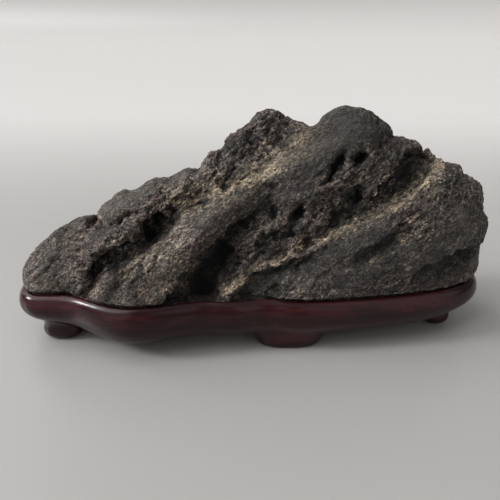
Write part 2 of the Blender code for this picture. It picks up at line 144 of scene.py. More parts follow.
# Sizes are in mm unless a note says otherwise, and a line is a list of places in (x, w).
rock = {
    "bedSlope": 40,           # degrees, the rock's beds rise towards +X
    "coarseVoxel": 0.95,      # mesh for the carving of the large forms
    "fineVoxel": 0.62,        # mesh for the weathering
    "triangles": 196000,      # the weathered mesh is thinned to this many
    "facetSmoothing": 7,      # rounds that take the facets off the plain solid
    "ragged": (1.6, 1.3),     # how far coarse and fine noise shift the channels and pits
    "undercut": (-0.225, 0, 0.15),   # move of a cliff under its slab, for each mm of the cut
    "ledgeSpacing": 4.2,      # between the worn edges of the beds
    "ledgeHeight": 0.9,
    "cragHeight": 0.95,       # broken stone between the ledges
    "grainHeight": 0.30,      # coarse grain
    "pitDepth": 1.3,          # scattered weathering pits
    "pitSpacing": 3.0,
    "patches": (22, 18, 14),  # patches of broken and of worn stone
    # Lumps along, across and through the beds, from broad swells to single grains
    "lumps": [(26, 16, 9), (8, 7, 4), (4.2, 3.6, 2.0), (2.1, 1.8, 1.1), (1.15, 1.0, 0.75)],
    "roundTop": 34,           # x of the round top, which is smooth against the sky
    "seatHeight": 26.0,       # carving and weathering fade out below this, down in the seat
    "footHeights": (38, 28),  # the foot starts to spread at the first and does so fully at the second
    "footSpread": 5.5,        # at most, to fill its seat
    "footGap": 0.7,           # to the seat's wall
    "footLean": 2.6,          # out over the rim
    "footHollows": [(-28, 7), (-89, 5)],   # x and reach, where the front of the foot stays in
    # Channels: line, depth (below 0 stands proud), width to its left, width to its right
    "channels": [
        ([(-77, 15), (-76, 24), (-72, 31.5), (-65, 36), (-57, 40)], -2.0, 2.2, 1.6),
        ([(-74, 22), (-71, 27.5), (-66, 31), (-59, 34), (-52, 37.5)], 5.5, 1.0, 3.4),
        ([(-77, 14.5), (-75, 19), (-74, 22)], 2.5, 0.9, 1.6),
        ([(-62, 12), (-59, 19), (-57, 25)], 2.5, 2.0, 2.5),
        ([(-64, 27), (-56, 31), (-49, 35), (-46, 39)], 3.0, 2.0, 3.0),
        ([(-76, 48.5), (-70, 45.5), (-65, 44.5), (-60, 46), (-55, 50)], 3.0, 1.0, 1.6),
        ([(-39.5, 11.5), (-37, 15), (-33, 20.5), (-27, 27.5), (-18, 35.5), (-12.5, 40.5),
          (-7, 46)], 6.0, 1.0, 6.5),
        ([(-31, 12), (-26, 18), (-20, 25), (-14, 32)], 4.5, 3.0, 5.0),
        ([(-26, 10.5), (-20, 20), (-14, 30)], 3.5, 4.0, 4.5),
        ([(-50, 26.5), (-48.5, 30), (-47, 33.5)], 1.6, 0.8, 0.9),
        ([(-43, 28.5), (-42, 31), (-41, 34)], 1.6, 0.8, 0.9),
        ([(-39.5, 36), (-38.5, 39)], 1.2, 0.8, 0.8),
        ([(-95.5, 24), (-93, 26.5)], 1.0, 0.7, 0.7),
        ([(-97, 28.5), (-91.5, 29), (-88.5, 31)], 0.7, 0.9, 0.9),
        ([(19.5, 39), (22, 42.5), (23.5, 47)], 1.5, 0.8, 0.9),
        ([(25.5, 47), (27, 49.5)], 1.2, 0.8, 0.8),
        ([(3, 40), (8, 41.5), (12.5, 40), (18, 42)], 3.2, 1.6, 2.2),
        ([(-1.5, 27), (0.5, 30.5)], 1.6, 0.9, 0.9),
        ([(31, 65.5), (33.5, 67.5), (35, 70), (36.5, 73)], 4.5, 1.3, 1.5),
        ([(46, 74), (47.5, 75.5)], 1.0, 0.7, 0.7),
        ([(54, 59.5), (57.5, 62.5), (60.5, 66.5), (62, 70), (65.5, 75), (71, 77.5),
          (77, 79)], 6.5, 1.2, 6.0),
        ([(83.5, 74), (80, 71), (76, 67), (66.5, 58), (60, 52.5), (53, 48.5), (43, 46), (32, 41.5),
          (24, 35)], 3.2, 0.8, 5.5),
        ([(24, 35), (14.5, 30.5), (3, 25), (-7, 18), (-12.5, 13)], 2.0, 1.5, 4.0),
        ([(43.5, 30.5), (48.5, 33.5), (58, 39), (62, 42), (63, 45)], 2.0, 0.8, 3.0),
        ([(66, 19.5), (71, 22), (78, 26), (86, 29.8), (94, 32.5), (103, 35.5)], 3.0, 0.9, 5.0),
        ([(72, 15.5), (72.5, 19)], 2.0, 0.9, 1.5),
        ([(53.5, 20.5), (61, 23.5), (64.5, 24.5)], 1.2, 0.9, 1.0),
        ([(53.5, 77), (55, 80), (57.5, 82.5), (63.5, 86.5)], 1.5, 1.0, 1.5),
        ([(59.5, 78), (65, 81.5), (71, 82)], 1.0, 0.8, 1.4),
        ([(5.5, 86), (6.5, 89.5), (9, 92), (12.5, 94)], 1.0, 0.9, 0.9),
        ([(5.5, 86), (9, 88), (12.5, 89), (15, 92)], 1.0, 0.9, 0.9),
        ([(-25, 54.5), (-17, 57.5), (-7, 59), (2.5, 60), (12.5, 59.5)], 1.5, 6.0, 0.8),
        ([(6, 58.5), (15.5, 59.5), (21, 60.5), (26, 61.5), (31.5, 64)], 1.6, 0.8, 2.2),
        ([(-11, 11.5), (-7, 15.5), (0, 20.5), (8.5, 23.5), (16, 28)], 4.5, 1.8, 3.5),
        ([(-6, 11), (2, 15), (10, 17)], 4.0, 2.5, 3.5),
        ([(11.5, 13), (15.5, 20.5), (20.5, 27), (31.5, 34.5)], 2.0, 1.2, 1.5),
    ],
    # Pits: middle in (x, w), half length, half width, slope in degrees, depth
    "pits": [
        ((-46, 45.5), 5.5, 3.6, 50, 8.0), ((-43, 48.5), 3.0, 2.2, 50, 3.5),
        ((-50, 40), 3.6, 2.6, 50, 4.0), ((-38, 50.5), 2.4, 2.0, 45, 2.8),
        ((-37.5, 45), 1.6, 1.3, 45, 1.6), ((7.5, 51), 3.2, 1.5, 75, 1.4),
        ((2, 51.5), 1.2, 1.0, 45, 0.7), ((19, 50), 3.8, 2.7, 60, 4.5),
        ((16, 46), 2.2, 1.5, 50, 1.8), ((3.5, 36), 3.5, 2.6, 60, 2.0),
        ((11, 35.5), 2.4, 1.8, 40, 1.5), ((-5.5, 29.5), 1.0, 0.9, 0, 1.0),
        ((-2.5, 39.5), 1.0, 0.9, 0, 1.0), ((4, 62), 1.3, 1.0, 30, 1.2),
        ((7, 60), 1.5, 1.0, 30, 1.2), ((11, 61.5), 1.3, 0.9, 30, 1.2),
        ((14.5, 60), 1.6, 1.1, 30, 1.4), ((20, 62), 1.2, 0.9, 30, 1.1),
        ((23.5, 61.5), 1.4, 0.9, 30, 1.2), ((17.5, 60.5), 1.1, 0.9, 30, 1.0),
        ((44.5, 72), 3.2, 2.6, 60, 5.0), ((44, 57), 4.2, 2.6, 80, 5.0),
        ((42, 50), 3.4, 2.6, 20, 4.0), ((33, 44), 2.2, 1.7, 20, 2.5),
        ((36, 60.5), 0.9, 0.9, 0, 1.0), ((34, 55), 1.4, 1.0, 30, 1.4),
        ((51.5, 51), 1.0, 1.0, 0, 1.2), ((85, 22.5), 3.5, 2.2, 30, 1.8),
        ((-2.5, 83), 2.6, 1.4, 60, 2.2), ((2.5, 81.5), 1.4, 1.0, 60, 1.4),
        ((11, 83.5), 2.8, 1.5, 70, 2.2), ((-10.5, 77.5), 1.4, 1.1, 40, 1.3),
        ((-15, 74), 2.2, 1.4, 40, 1.6), ((-12.5, 67.5), 2.6, 1.7, 40, 2.2),
        ((-5.5, 72.5), 1.8, 1.1, 50, 1.5), ((-2.5, 78), 1.0, 0.8, 0, 1.0),
        ((-9, 70.5), 2.0, 1.1, 40, 1.6), ((21, 85.5), 1.0, 0.8, 0, 1.0),
        ((84.5, 31), 1.2, 1.1, 0, 1.3), ((70.5, 37.5), 1.1, 0.8, 40, 0.9),
        ((78, 42.5), 1.4, 0.8, 40, 1.0), ((80, 44.5), 1.2, 0.8, 40, 0.9),
        ((85.5, 49.5), 1.0, 0.8, 40, 0.8), ((91, 52), 1.2, 0.8, 40, 0.9),
        ((74.5, 59.5), 1.2, 0.8, 60, 0.9), ((79.5, 63.5), 1.0, 0.8, 40, 0.8),
        ((45.5, 39.5), 0.8, 0.8, 0, 0.9), ((74.5, 31.5), 1.3, 0.7, 40, 0.9),
        ((-98, 30.5), 1.2, 0.8, 40, 1.0), ((-105, 23.5), 1.5, 0.9, 40, 1.2),
        ((-89.5, 18.5), 2.2, 1.2, 20, 1.5), ((-78.5, 38), 1.5, 0.9, 40, 1.1),
        ((-79.5, 33.5), 1.8, 0.9, 50, 1.2), ((-84.5, 34.5), 1.3, 0.8, 40, 1.0),
        ((-93, 32), 1.2, 0.8, 40, 0.9), ((-74, 34.5), 1.2, 0.8, 40, 1.0),
    ],
    # Worn slabs, where the rock is smooth: line, half width
    "slabs": [
        ([(45, 84), (36, 86), (28, 78), (20, 70), (10, 67)], 8.0),
        ([(22, 57.5), (6.5, 56), (-5, 55.5), (-14, 52)], 3.6),
        ([(-20, 49), (-28.5, 40.5), (-37, 29), (-44, 18)], 5.0),
        ([(58, 43), (48.5, 41.5), (40, 36)], 5.0),
        ([(-95, 20), (-86, 24), (-90, 31), (-98, 26)], 5.0),
        ([(-68, 53), (-58.5, 55), (-50, 61)], 4.0),
        ([(40, 22), (60, 30), (80, 30), (90, 45)], 9.0),
    ],
    # Broken, pitted stone: line, half width, amount
    "broken": [
        ([(-16, 70), (-6, 80), (6, 88)], 13.0, 1.0),
        ([(-4, 30), (10, 37), (24, 44), (38, 52)], 9.0, 1.0),
        ([(-12, 38), (0, 46)], 5.0, 0.9),
        ([(30, 60), (42, 66), (50, 60)], 7.0, 0.9),
        ([(-76, 24), (-60, 36), (-48, 44)], 7.0, 1.0),
        ([(54, 62), (64, 71), (76, 77)], 5.5, 1.0),
        ([(-48, 56), (-30, 60), (-12, 66)], 7.0, 0.75),
        ([(-65, 14), (-59, 24)], 5.0, 0.9),
        ([(72, 62), (88, 62), (96, 54)], 8.0, 0.5),
        ([(-104, 34), (-88, 40)], 7.0, 0.6),
    ],
    # Sandy dust left in the hollows: line, half width, amount
    "sand": [
        ([(-33.5, 55), (-25, 57.5), (-15, 60.5), (-7, 63), (0, 66), (5.5, 70), (9.5, 75), (15, 78),
          (20, 80.5), (24.5, 85)], 6.0, 0.75),
        ([(22, 36), (27, 37), (35.5, 42), (43, 46.5), (52.5, 49.5), (60, 54), (69, 61.5),
          (77.5, 69), (82.5, 73)], 2.1, 1.0),
        ([(60, 54), (69, 61.5), (77.5, 69), (82.5, 73)], 3.6, 1.0),
        ([(-15.5, 14.5), (-9, 18), (-2.5, 22), (3.5, 25.5), (11, 29), (16, 33),
          (22, 35.5)], 2.6, 0.8),
        ([(-71, 15.5), (-63.5, 19), (-57.5, 23.5), (-52, 28.5), (-47, 32),
          (-41.5, 35.5)], 3.0, 0.5),
        ([(62.3, 39.5), (62.8, 38)], 1.6, 0.8),
        ([(69, 50), (69, 49)], 1.2, 0.6),
        ([(51.5, 29), (53, 26)], 1.6, 0.6),
        ([(61.5, 34), (61.5, 33)], 1.4, 0.4),
    ],
    # Paler (above 0) and darker (below 0) stone, and painted shade: line, half width, amount
    # some strokes below 0, at the bottoms of gullies and pits and under the left lobe, are painted shade
    "tones": [
        ([(-44, 16), (-40, 26), (-31, 38)], 7.0, 0.7), ([(-70, 17), (-67, 23)], 3.5, 0.6),
        ([(-98, 22), (-86, 20)], 8.0, 0.45), ([(-65, 29), (-59, 36)], 2.5, 0.95),
        ([(-74, 45), (-71, 48)], 3.0, 0.5), ([(-48, 53), (-36, 56)], 6.0, 0.35),
        ([(-17, 63), (-13, 75)], 4.0, 0.85), ([(-43, 47), (-42, 50)], 2.5, 0.5),
        ([(-4, 62), (2, 72), (8, 82)], 6.0, 0.35), ([(-36, 17), (-29, 24)], 4.0, 0.5),
        ([(-34, 12), (-32, 14)], 2.5, 0.8), ([(-15, 13), (-8, 17)], 4.0, 0.6),
        ([(18, 37), (30, 41)], 3.0, 1.2), ([(46, 48), (53, 54)], 3.0, 0.7),
        ([(63, 40), (65, 46)], 2.5, 1.4), ([(3, 26), (10, 27)], 2.5, 1.2),
        ([(-1, 36), (0, 38)], 2.5, 0.8), ([(28, 33), (31, 35)], 2.0, 0.8),
        ([(50, 56), (58, 64)], 2.5, 0.9), ([(46, 75), (49, 74)], 2.5, 0.5),
        ([(68, 61), (80, 71)], 3.0, 0.5), ([(-66, 14), (-62, 21), (-59, 29)], 4.0, -1.2),
        ([(-24, 29), (-15, 36), (-6, 46)], 3.0, -0.85), ([(-18, 24), (-13, 31)], 5.0, -1.1),
        ([(-46, 44), (-45, 46)], 3.0, -1.0), ([(-66, 26), (-65, 27)], 2.0, -0.8),
        ([(-51, 39), (-49, 41)], 2.5, -0.8), ([(3, 35), (7, 34)], 4.0, -1.3),
        ([(8, 41), (17, 41)], 2.5, -0.6), ([(31, 31), (34, 33)], 3.5, -1.2),
        ([(18, 25), (24, 27)], 4.0, -1.4), ([(-2, 13), (5, 16)], 5.0, -2.4),
        ([(6, 21), (10, 22)], 3.0, -1.1), ([(-31, 11), (-22, 12)], 4.5, -1.5),
        ([(-42, 11), (-36, 12)], 3.0, -1.1), ([(17, 47), (19, 45)], 3.0, -0.9),
        ([(28, 90), (36, 80)], 8.0, -0.4), ([(40, 88), (52, 84)], 10.0, -0.9),
        ([(22, 70), (34, 74)], 7.0, -0.7), ([(-8, 59), (8, 59), (22, 60)], 2.0, -0.85),
        ([(65, 72), (74, 74)], 4.0, -1.3), ([(38, 48), (32, 42)], 2.5, -0.8),
        ([(42, 52), (44, 51)], 3.5, -1.1), ([(-48, 34), (-42, 36)], 4.0, -0.5),
        ([(-70, 43), (-68, 42)], 3.0, -1.1), ([(76, 19), (90, 24)], 6.0, -0.65),
        ([(56, 24), (74, 34), (92, 48)], 14.0, -0.15), ([(9, 38), (17, 37)], 2.5, -0.7),
        ([(-14, 80), (-4, 90), (6, 90)], 6.0, -0.35), ([(-14, 72), (-8, 80)], 3.0, -0.8),
        ([(-9, 67), (-7, 69)], 2.5, -0.7), ([(40, 34), (56, 38)], 8.0, -0.5),
        ([(98, 30), (99, 34)], 3.0, -1.2), ([(47, 58), (48, 59)], 2.5, -0.8),
        ([(-28, 58), (-24, 56)], 3.0, 0.5), ([(-86, 16), (-84, 17)], 3.0, -1.0),
        ([(24, 64), (26, 66)], 3.0, -0.7),
    ],
    # Touches to the skyline: x and how far it moves up
    "skyline": [
        (-104, -0.5), (-84, -0.6), (-73, 0.4), (-70, -0.9), (-67.5, -2.2), (-65, 0), (-62, 0.1),
        (-59, -1.7), (-56, -1.7), (-50, -0.7), (-42, 0), (-37, -1.4), (-32, 0), (-14, 0.8),
        (-8, -2.0), (-3, -2.0), (3, 0.2), (9, 0.6), (14, 1.2), (20, -0.2), (48, 0.6), (54, 0.8),
        (58, 0), (64, -0.9), (67, -0.6), (72.5, 2.0), (75.5, 1.7), (78.5, -1.2), (81, 2.9),
        (84, 3.5), (86.5, -0.8), (89, 0.9), (92, 0.1), (97, 0),
    ],
    # Pushes to the outline: place in (x, w), reach, move along X and up
    "pushes": [
        ((-100, 18), 6.0, -3.2, -3.0), ((90.5, 70.5), 2.6, 1.2, 1.6), ((97, 65), 4.5, -2.0, -1.0),
        ((101, 33), 6.0, 2.2, 0.0),
    ],
    "bodyTones": [(0.36, "#443c36"), (0.64, "#70645a"), (0.5, "#5a4f47")],
    "grainTints": [(0, "#695559"), (1, "#948975"), (0.3, "#5c5a59"), (0.6, "#575d5d"), (0.8, "#716857")],
    "purple": "#684e4f",
    "green": "#50534c",
    "wornSkin": "#48453f",
    "dust": "#a6967f",
    # the painted shade inside the pinholes
    "pinholes": "#110e0d",
}


def copyOfNode(nodeName, pieceName):
    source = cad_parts[nodeName]
    piece = bpy.data.objects.new(pieceName, source.data.copy())
    bpy.context.scene.collection.objects.link(piece)
    activate(piece)
    bpy.ops.object.mode_set(mode="EDIT")
    bpy.ops.mesh.select_all(action="SELECT")
    bpy.ops.mesh.remove_doubles(threshold=0.00001)
    bpy.ops.object.mode_set(mode="OBJECT")
    return piece


def lineField(x, w, line):   # distance to a line, and 1 right of it or -1 left of it
    best = np.full(x.shape, 1e9)
    side = np.ones(x.shape)
    for (ax, aw), (bx, bw) in zip(line, line[1:]):
        length = math.dist((ax, aw), (bx, bw))
        ux, uw = (bx - ax) / length, (bw - aw) / length
        along = np.clip((x - ax) * ux + (w - aw) * uw, 0, length)
        dx, dw = x - ax - along * ux, w - aw - along * uw
        distance = np.hypot(dx, dw)
        nearer = distance < best
        best = np.where(nearer, distance, best)
        side = np.where(nearer, np.where(dx * uw - dw * ux > 0, 1.0, -1.0), side)
    return best, side


def near(x, w, places, margin):   # the vertices that a feature can reach
    xs, ws = zip(*places)
    inside = (x > min(xs) - margin) & (x < max(xs) + margin)
    return inside & (w > min(ws) - margin) & (w < max(ws) + margin)


def viewCoordinates(points):
    return points[:, 0], points[:, 2] * math.cos(viewTilt) + points[:, 1] * math.sin(viewTilt)


def facingDisplay(normals):   # 1 where the surface is seen on the display side, 0 behind
    towards = -normals[:, 1] * math.cos(viewTilt) + normals[:, 2] * math.sin(viewTilt)
    return rise(towards, -0.05, 0.3)


def carve(piece):   # the channels and pits of the display side
    points = readPoints(piece.data)
    normals = readNormals(piece.data)
    x, w = viewCoordinates(points)
    ragged = [noiseAt(points, (size, size, size), shift) for size, shift in
              ((6, 0), (6, 9), (2.4, 20), (2.4, 29), (3.6, 41))]
    coarse, fine = rock["ragged"]
    x = x + coarse * ragged[0] + fine * ragged[2]
    w = w + coarse * ragged[1] + fine * ragged[3]
    depth = np.zeros(len(points))
    under = np.zeros(len(points))
    for line, deep, leftWidth, rightWidth in rock["channels"]:
        reach = near(x, w, line, 3 * max(leftWidth, rightWidth))
        distance, side = lineField(x[reach], w[reach], line)
        cliff = 1 - rise(distance, 0, 1.7 * leftWidth)
        slope = np.exp(-(distance / rightWidth) ** 1.6)
        cut = deep * np.where(side > 0, slope, cliff)   # steep to the left, long to the right
        depth[reach] += cut
        under[reach] += np.maximum(cut, 0) * (rightWidth > 2 * leftWidth)
    for middle, halfLength, halfWidth, degrees, deep in rock["pits"]:
        reach = near(x, w, [middle], 2.5 * halfLength)
        slope = math.radians(degrees)
        dx, dw = x[reach] - middle[0], w[reach] - middle[1]
        along = dx * math.cos(slope) + dw * math.sin(slope)
        across = dw * math.cos(slope) - dx * math.sin(slope)
        out = np.hypot(along / halfLength, across / halfWidth) + 0.5 * ragged[4][reach]
        depth[reach] += deep * (1 - rise(out, 0.15, 1.3))
    shown = facingDisplay(normals)
    shown *= rise(points[:, 2], rock["seatHeight"] - 4, rock["seatHeight"] + 1)
    inwards = -normals * 0.7 + np.array([0, 0.3, -0.05])   # into the stone and a little back
    points = points + inwards * (depth * shown)[:, None]
    points += np.array(rock["undercut"]) * (under * shown)[:, None]
    writePoints(piece.data, points)


def zone(x, w, edges, strokes):   # how far each vertex lies inside strokes with soft, ragged edges
    amount = np.zeros(len(x))
    for line, halfWidth, *strength in strokes:
        distance, _ = lineField(x, w, line)
        inside = 1 - rise(distance + 2.5 * edges, 0.5 * halfWidth, 1.2 * halfWidth)
        amount = np.maximum(amount, inside * (strength[0] if strength else 1))
    return amount


def roughAmount(points, normals):   # near 0 on the worn slabs, 1 on broken and pitted stone
    x, w = viewCoordinates(points)
    patches = noiseAt(points, rock["patches"], 5)
    edges = noiseAt(points, (5, 5, 5), 6)
    rough = 0.55 + 0.35 * patches
    display = rough + (1 - rough) * zone(x, w, edges, rock["broken"])
    display *= 1 - 0.8 * zone(x, w, edges, rock["slabs"])
    behind = 0.15 + 0.85 * rise(patches + 0.3 * edges, -0.25, 0.3)
    shown = facingDisplay(normals)
    return np.clip(display * shown + behind * (1 - shown), 0.05, 1)


def touchSkyline(points):
    x, w = viewCoordinates(points)
    columnWidth = 2
    column = np.round(x / columnWidth).astype(int)
    column -= column.min()
    top = np.full(column.max() + 1, -1e9)
    np.maximum.at(top, column, w)   # the skyline, column by column
    below = np.interp(x, (np.arange(len(top)) + np.round(x.min() / columnWidth)) * columnWidth, top) - w
    points = points.copy()
    points[:, 2] += np.interp(x, *zip(*rock["skyline"])) * rise(below, 9, 2)   # full at the top 2 mm
    for (atX, atW), reach, right, up in rock["pushes"]:
        share = np.exp(-((x - atX) ** 2 + (w - atW) ** 2) / reach ** 2)
        points += share[:, None] * np.array([right, 0, up])
    return points


def bedCoordinates(points):   # along the beds, front to back, and up through them
    slope = math.radians(rock["bedSlope"])
    along = points[:, 0] * math.cos(slope) + points[:, 2] * math.sin(slope)
    through = points[:, 2] * math.cos(slope) - points[:, 0] * math.sin(slope)
    return np.stack([along, points[:, 1], through], 1)


def pitsAt(places, spacing, amount, shift=0):   # ragged pits in a share of the cells
    depth = np.zeros(len(places))
    stretch = 1.6   # along the beds
    for i, (x, y, z) in enumerate(places):
        gaps, cells = noise.voronoi((x / spacing / stretch + shift, y / spacing, z / spacing))
        pick = 0.5 + 0.5 * noise.cell(cells[0] * 37.7)   # the cell's own random number
        if pick < amount[i]:
            depth[i] = math.exp(-(gaps[0] / (0.18 + 0.25 * pick)) ** 2)
    return depth


def settle(points, normals):   # the rock's foot fills its seat, just clear of the wood
    low = np.flatnonzero(points[:, 2] < rock["footHeights"][0])
    foot = points[low]
    outline = seatOutline() + stand["shift"]
    tangent = np.roll(outline, -1, 0) - np.roll(outline, 1, 0)
    tangent /= np.linalg.norm(tangent, axis=1, keepdims=True)
    following = np.roll(outline, -1, 0)
    turn = np.sign(sum(outline[:, 0] * following[:, 1] - following[:, 0] * outline[:, 1]))
    outward = np.stack([tangent[:, 1], -tangent[:, 0]], 1) * turn
    nearest = np.empty(len(low), int)   # the place on the seat's edge that is nearest
    batch = 4000
    for start in range(0, len(low), batch):
        part = foot[start:start + batch, :2]
        nearest[start:start + batch] = ((part[:, None] - outline[None]) ** 2).sum(2).argmin(1)
    away = outward[nearest]
    room = ((outline[nearest] - foot[:, :2]) * away).sum(1)   # from the stone out to that edge
    side = rise((normals[low, :2] * away).sum(1), 0.0, 0.5)
    above = foot[:, 2] - np.interp(foot[:, 0], *zip(*stand["rimTop"]))
    gap = rock["footGap"] - rock["footLean"] * rise(above, 0.4, 1.3) + 0.7 * noiseAt(foot, (4, 4, 4), 15)
    move = np.clip(room - gap, 0, rock["footSpread"]) * rise(foot[:, 2], *rock["footHeights"]) * side
    for x, reach in rock["footHollows"]:
        move *= 1 - 0.8 * np.exp(-((foot[:, 0] - x) / reach) ** 2) * (foot[:, 1] < 0)
    room -= move
    move += np.minimum(room - 0.5, 0) * (above < 0.7)   # never nearer to the wood than this
    points = points.copy()
    points[low, :2] += away * move[:, None]
    return points


def weather(piece):   # ledges of the beds, broken stone, grain and scattered pits
    points = readPoints(piece.data)
    normals = readNormals(piece.data)
    rough = roughAmount(points, normals)
    beds = bedCoordinates(points)
    broad, middle, small, fine, finest = (noiseAt(beds, sizes, shift) for sizes, shift in
                                          zip(rock["lumps"], (0, 3, 5, 7, 9)))
    step = beds[:, 2] / rock["ledgeSpacing"] + 0.9 * broad + 0.55 * middle + 0.25 * small
    step = (1 - (step - np.floor(step))) ** 1.4   # each bed's edge stands out and wears back
    fades = rise(noiseAt(points, (17, 17, 17), 11), -0.15, 0.35) * (0.15 + 0.85 * rough)
    crag = 0.5 - 1.6 * np.abs(middle) + 0.7 * (0.5 - 2 * np.abs(small)) + 0.5 * (0.5 - 2 * np.abs(fine))
    warped = beds + np.stack([middle + small, small + fine, fine + small], 1) * 0.9
    pits = pitsAt(warped, rock["pitSpacing"], 0.08 + 0.6 * rough)
    pits += 0.6 * pitsAt(warped, rock["pitSpacing"] * 0.5, 0.05 + 0.55 * rough, 31)
    height = rock["ledgeHeight"] * (step - 0.5) * fades
    height += rock["cragHeight"] * crag * (0.25 + 0.75 * rough)
    height += rock["grainHeight"] * finest * (0.5 + 0.5 * rough)
    height -= rock["pitDepth"] * pits * (0.2 + 0.8 * rough)
    height *= rise(points[:, 2], rock["seatHeight"] - 5, rock["seatHeight"] - 1)
    beside = rise(np.abs(points[:, 0] - rock["roundTop"]), 4, 16)   # the round top stays smooth
    crest = rise(points[:, 2], 88, 98) * (1 - beside)
    height *= 1 - 0.6 * crest
    points = touchSkyline(points + normals * height[:, None])
    writePoints(piece.data, settle(points, normals))


def measureRock(piece):   # what the stone's finish reads from its shape
    mesh = piece.data
    points = readPoints(mesh)
    normals = readNormals(mesh)
    shown = facingDisplay(normals)
    x, w = viewCoordinates(points)
    keepAttribute(mesh, "worn", 1 - roughAmount(points, normals))
    # hollows of about a millimetre and of a centimetre: 0.5 is flat, above it is sunk; the finish paints
    # shade into them
    for name, rounds, deepest in (("hollow", 12, 1.2), ("deep", 400, 7)):
        sunk = ((smoothed(mesh, points, rounds) - points) * normals).sum(1)
        keepAttribute(mesh, name, 0.5 + sunk / deepest)
    sand = np.zeros(len(points))
    for line, halfWidth, amount in rock["sand"]:
        distance, _ = lineField(x, w, line)
        sand = np.maximum(sand, amount * np.exp(-(distance / halfWidth) ** 2))
    sand *= shown * rise(normals[:, 2], -0.3, 0.25)
    keepAttribute(mesh, "sand", sand)
    # paler and darker stone, and painted shade at the bottoms of gullies and pits and under the left
    # lobe
    paler = np.zeros(len(points))
    for line, halfWidth, amount in rock["tones"]:
        distance, _ = lineField(x, w, line)
        paler += amount * np.exp(-(distance / halfWidth) ** 2)
    keepAttribute(mesh, "paler", 0.5 + 0.5 * paler * shown)


